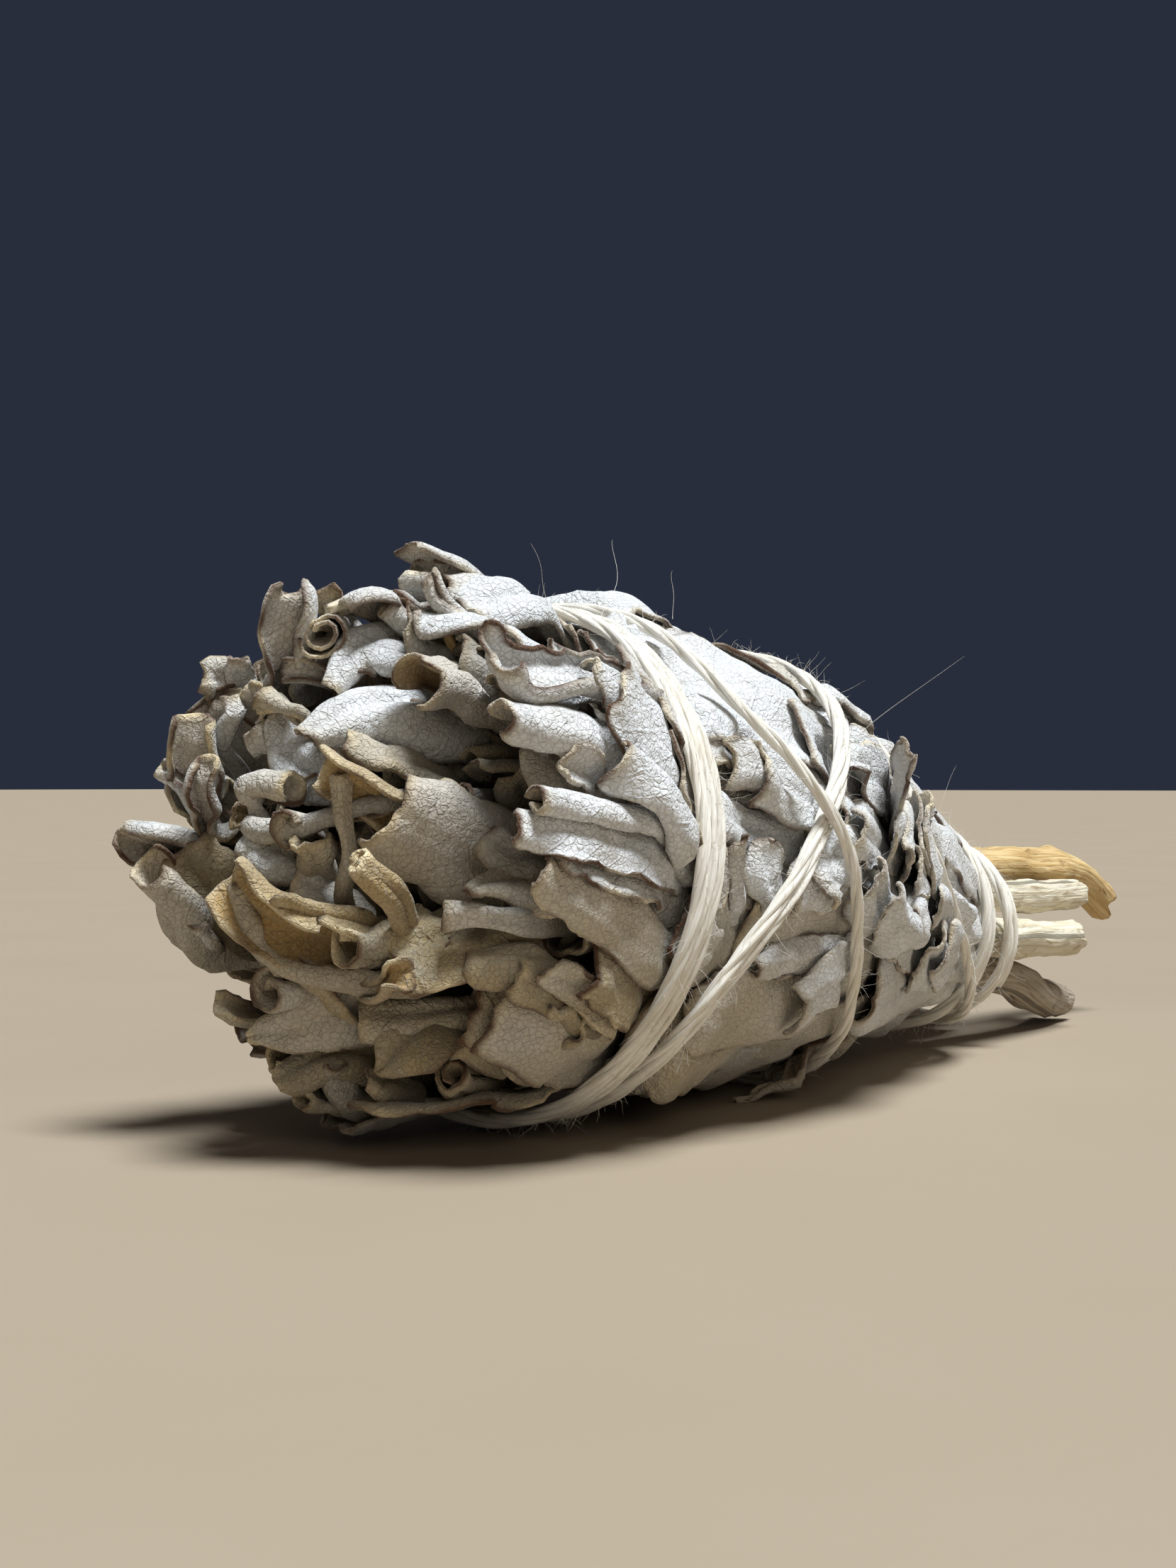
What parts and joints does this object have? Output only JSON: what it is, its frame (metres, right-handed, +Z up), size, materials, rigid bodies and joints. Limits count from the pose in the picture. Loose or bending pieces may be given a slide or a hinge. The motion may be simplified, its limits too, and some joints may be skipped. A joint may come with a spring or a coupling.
{
  "type": "sage smudge stick",
  "caption": "Tapered bundle of dried, curled sage leaves and stems, wound with a cotton string, lying on its side.",
  "frame": {"origin": "centre of the bounding box on the surface that the stick lies on", "axes": "+X along the stick towards the cut stem ends, +Z up from the surface"},
  "size_m": [0.1328, 0.045, 0.0419],
  "materials": {
    "leaf": "matte, felted with fine pale hairs",
    "outer_leaf": "matte, smooth pale grey, fine veins",
    "stem": "dry, fibrous, peeled in places",
    "string": "soft unbleached cotton, fuzzy"
  },
  "bodies": {
    "root": {"cotton_string": "string", "stem_1": "stem", "stem_2": "stem", "stem_3": "stem", "stem_4": "stem", "stem_5": "stem", "stem_6": "stem", "stem_7": "stem", "stem_8": "stem", "square_leaf": "leaf", "oval_leaf": "leaf", "long_leaf": "leaf", "rolled_leaf": "leaf", "broad_leaf": "leaf", "crumpled_leaf": "leaf", "curled_leaf": "leaf", "top_leaf": "leaf", "ridge_top_leaf": "leaf", "cone_leaf": "leaf", "horn_leaf": "leaf", "golden_leaf": "leaf", "ridge_leaf": "leaf", "flared_leaf": "leaf", "hollow_leaf": "leaf", "pointed_leaf": "leaf", "crossing_leaf": "leaf", "fold_leaf": "leaf", "margin_leaf": "leaf", "lower_tip_leaf": "leaf", "ring_leaf": "leaf", "low_leaf": "leaf", "wavy_leaf": "leaf", "dark_curl_leaf": "leaf", "scroll_low_leaf": "leaf", "finger_leaf": "leaf", "cone_end_leaf": "leaf", "mouth_leaf": "leaf", "pale_tip_leaf": "leaf", "upright_leaf": "leaf", "u_leaf": "leaf", "knob_leaf": "leaf", "s_leaf": "leaf", "loop_leaf": "leaf", "left_tip_leaf": "leaf", "tall_leaf": "leaf", "scroll_leaf": "leaf", "arched_leaf": "leaf", "bulging_leaf": "leaf", "inner_stalk_leaf": "leaf", "wrap_leaf_01": "outer_leaf", "wrap_leaf_02": "outer_leaf", "wrap_leaf_03": "outer_leaf", "wrap_leaf_04": "outer_leaf", "wrap_leaf_05": "outer_leaf", "wrap_leaf_06": "outer_leaf", "wrap_leaf_07": "outer_leaf", "wrap_leaf_08": "outer_leaf", "wrap_leaf_09": "outer_leaf", "wrap_leaf_10": "outer_leaf", "wrap_leaf_11": "outer_leaf"}
  },
  "joints": []
}
